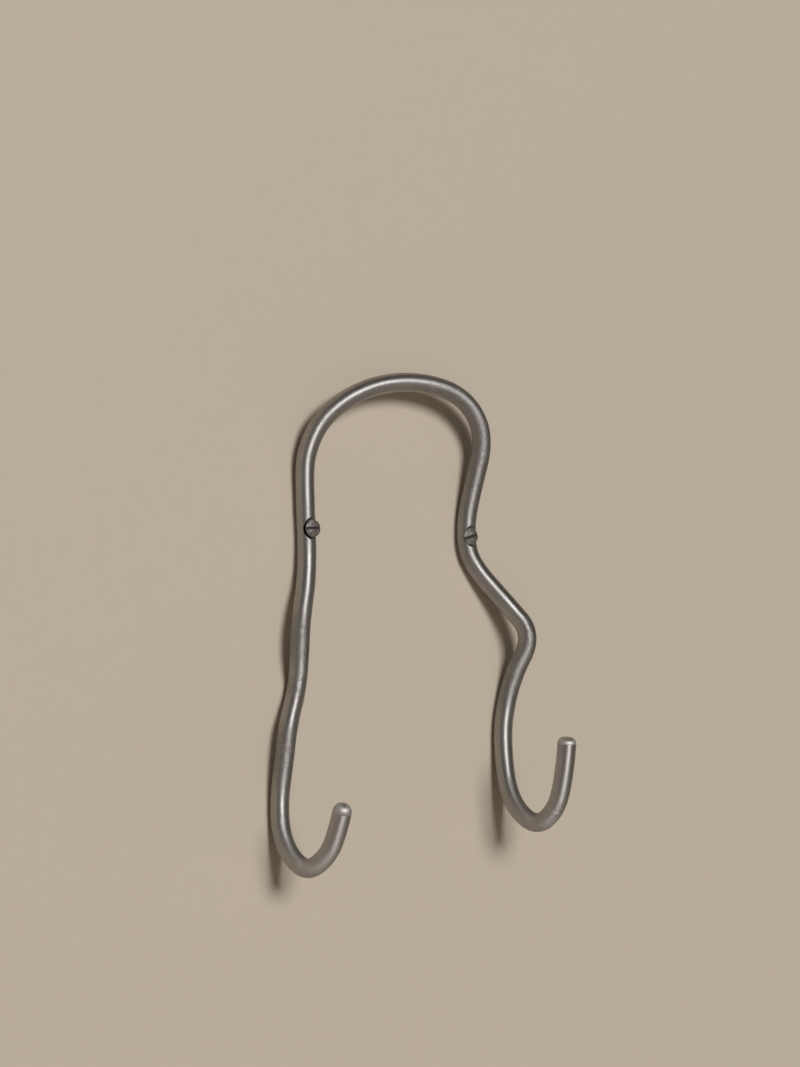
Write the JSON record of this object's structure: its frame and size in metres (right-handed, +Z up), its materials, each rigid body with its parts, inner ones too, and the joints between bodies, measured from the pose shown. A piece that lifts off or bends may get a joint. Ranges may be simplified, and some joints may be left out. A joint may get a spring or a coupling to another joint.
{
  "type": "double wall hook",
  "caption": "Double wall hook bent from one round steel rod: an arch on top, wavy legs and upturned hooks, fixed to a wall by slotted screws through the rod.",
  "frame": {"origin": "on the wall plane, halfway between the two screws", "axes": "+X to the right along the wall, +Y into the wall, +Z up"},
  "size_m": [0.098, 0.0636, 0.1602],
  "materials": {
    "rod_steel": "satin drawn stainless steel",
    "screw_steel": "dull steel with tool marks"
  },
  "bodies": {
    "root": {"hook_rod": "rod_steel", "wall_screws": "screw_steel"}
  },
  "joints": []
}
